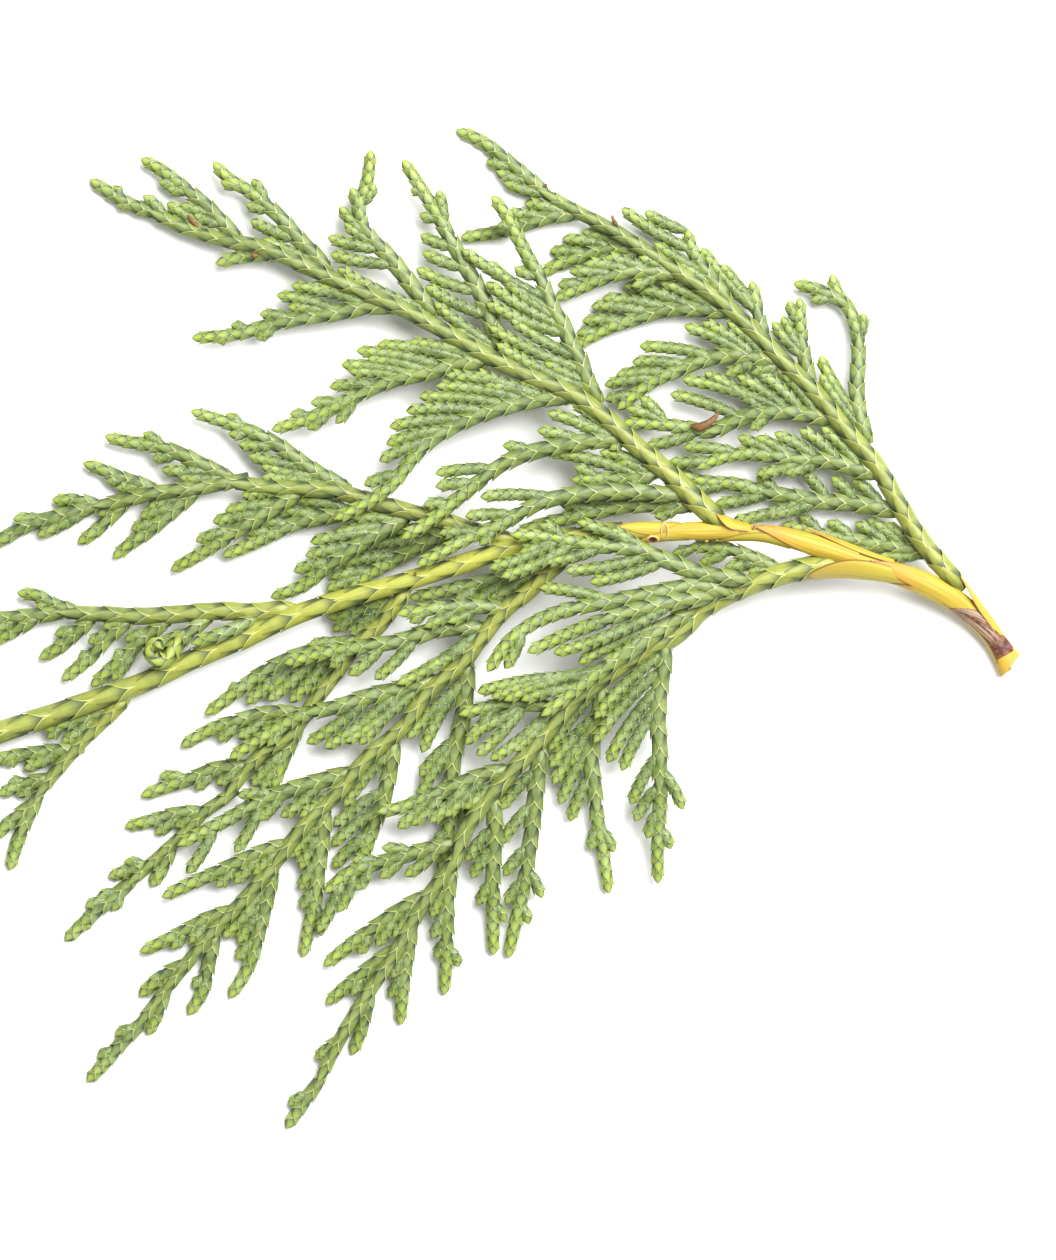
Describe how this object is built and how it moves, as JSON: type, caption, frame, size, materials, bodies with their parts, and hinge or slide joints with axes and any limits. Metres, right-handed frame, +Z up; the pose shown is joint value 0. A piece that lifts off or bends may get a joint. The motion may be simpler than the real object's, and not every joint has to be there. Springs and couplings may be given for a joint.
{
  "type": "cedar sprig",
  "caption": "Cut evergreen sprig lying flat: an arching stem with side branches of flat, scale-leaved sprays of blunt twigs.",
  "frame": {"origin": "centre of the sprig's bounding box in plan, on the table the sprig lies on", "axes": "+Z up from the table; +X towards the cut end of the stem; +Y towards the top of the picture"},
  "size_m": [0.1895, 0.1506, 0.011],
  "materials": {
    "main_stem": "smooth golden bark of fused scale leaves, satin",
    "branches": "yellow-green scale-leaved branch stems, satin",
    "sprays": "green scale leaves with pale margins, satin"
  },
  "bodies": {
    "root": {"main_stem": "main_stem", "branch_a_stem": "branches", "branch_a_tip": "branches", "branch_b_stem": "branches", "branch_b_tip": "branches", "branch_c_stem": "branches", "branch_c_tip": "branches", "branch_d_stem": "branches", "branch_d_tip": "branches", "branch_e_stem": "branches", "branch_e_tip": "branches", "branch_f_stem": "branches", "branch_f_tip": "branches", "branch_g": "branches", "branch_h": "branches", "leader_tip": "branches", "branch_a_right_spray": "sprays", "branch_a_left_spray_1": "sprays", "branch_a_left_spray_2": "sprays", "branch_a_left_spray_3": "sprays", "branch_a_left_spray_4": "sprays", "branch_a_left_spray_5": "sprays", "branch_a_left_spray_6": "sprays", "branch_b_up_spray_1": "sprays", "branch_b_up_spray_2": "sprays", "branch_b_up_spray_3": "sprays", "branch_b_low_spray_1": "sprays", "branch_b_low_spray_2": "sprays", "branch_b_low_spray_3": "sprays", "branch_b_low_spray_4": "sprays", "branch_b_low_spray_5": "sprays", "branch_b_low_spray_6": "sprays", "branch_f_up_spray_1": "sprays", "branch_f_up_spray_2": "sprays", "branch_f_low_spray_1": "sprays", "branch_f_low_spray_2": "sprays", "branch_f_low_spray_3": "sprays", "branch_e_low_spray_1": "sprays", "branch_e_low_spray_2": "sprays", "branch_e_low_spray_3": "sprays", "branch_d_low_spray_1": "sprays", "branch_d_low_spray_2": "sprays", "branch_d_low_spray_3": "sprays", "branch_d_low_spray_4": "sprays", "branch_d_right_spray_1": "sprays", "branch_d_right_spray_2": "sprays", "branch_d_right_spray_3": "sprays", "branch_d_right_spray_4": "sprays", "branch_c_up_spray": "sprays", "branch_c_fan_1": "sprays", "branch_c_fan_2": "sprays", "branch_c_down_spray": "sprays", "branch_c_left_spray_1": "sprays", "branch_c_left_spray_2": "sprays", "branch_c_left_spray_3": "sprays", "branch_c_right_spray_1": "sprays", "branch_c_right_spray_2": "sprays", "branch_c_right_spray_3": "sprays"}
  },
  "joints": []
}
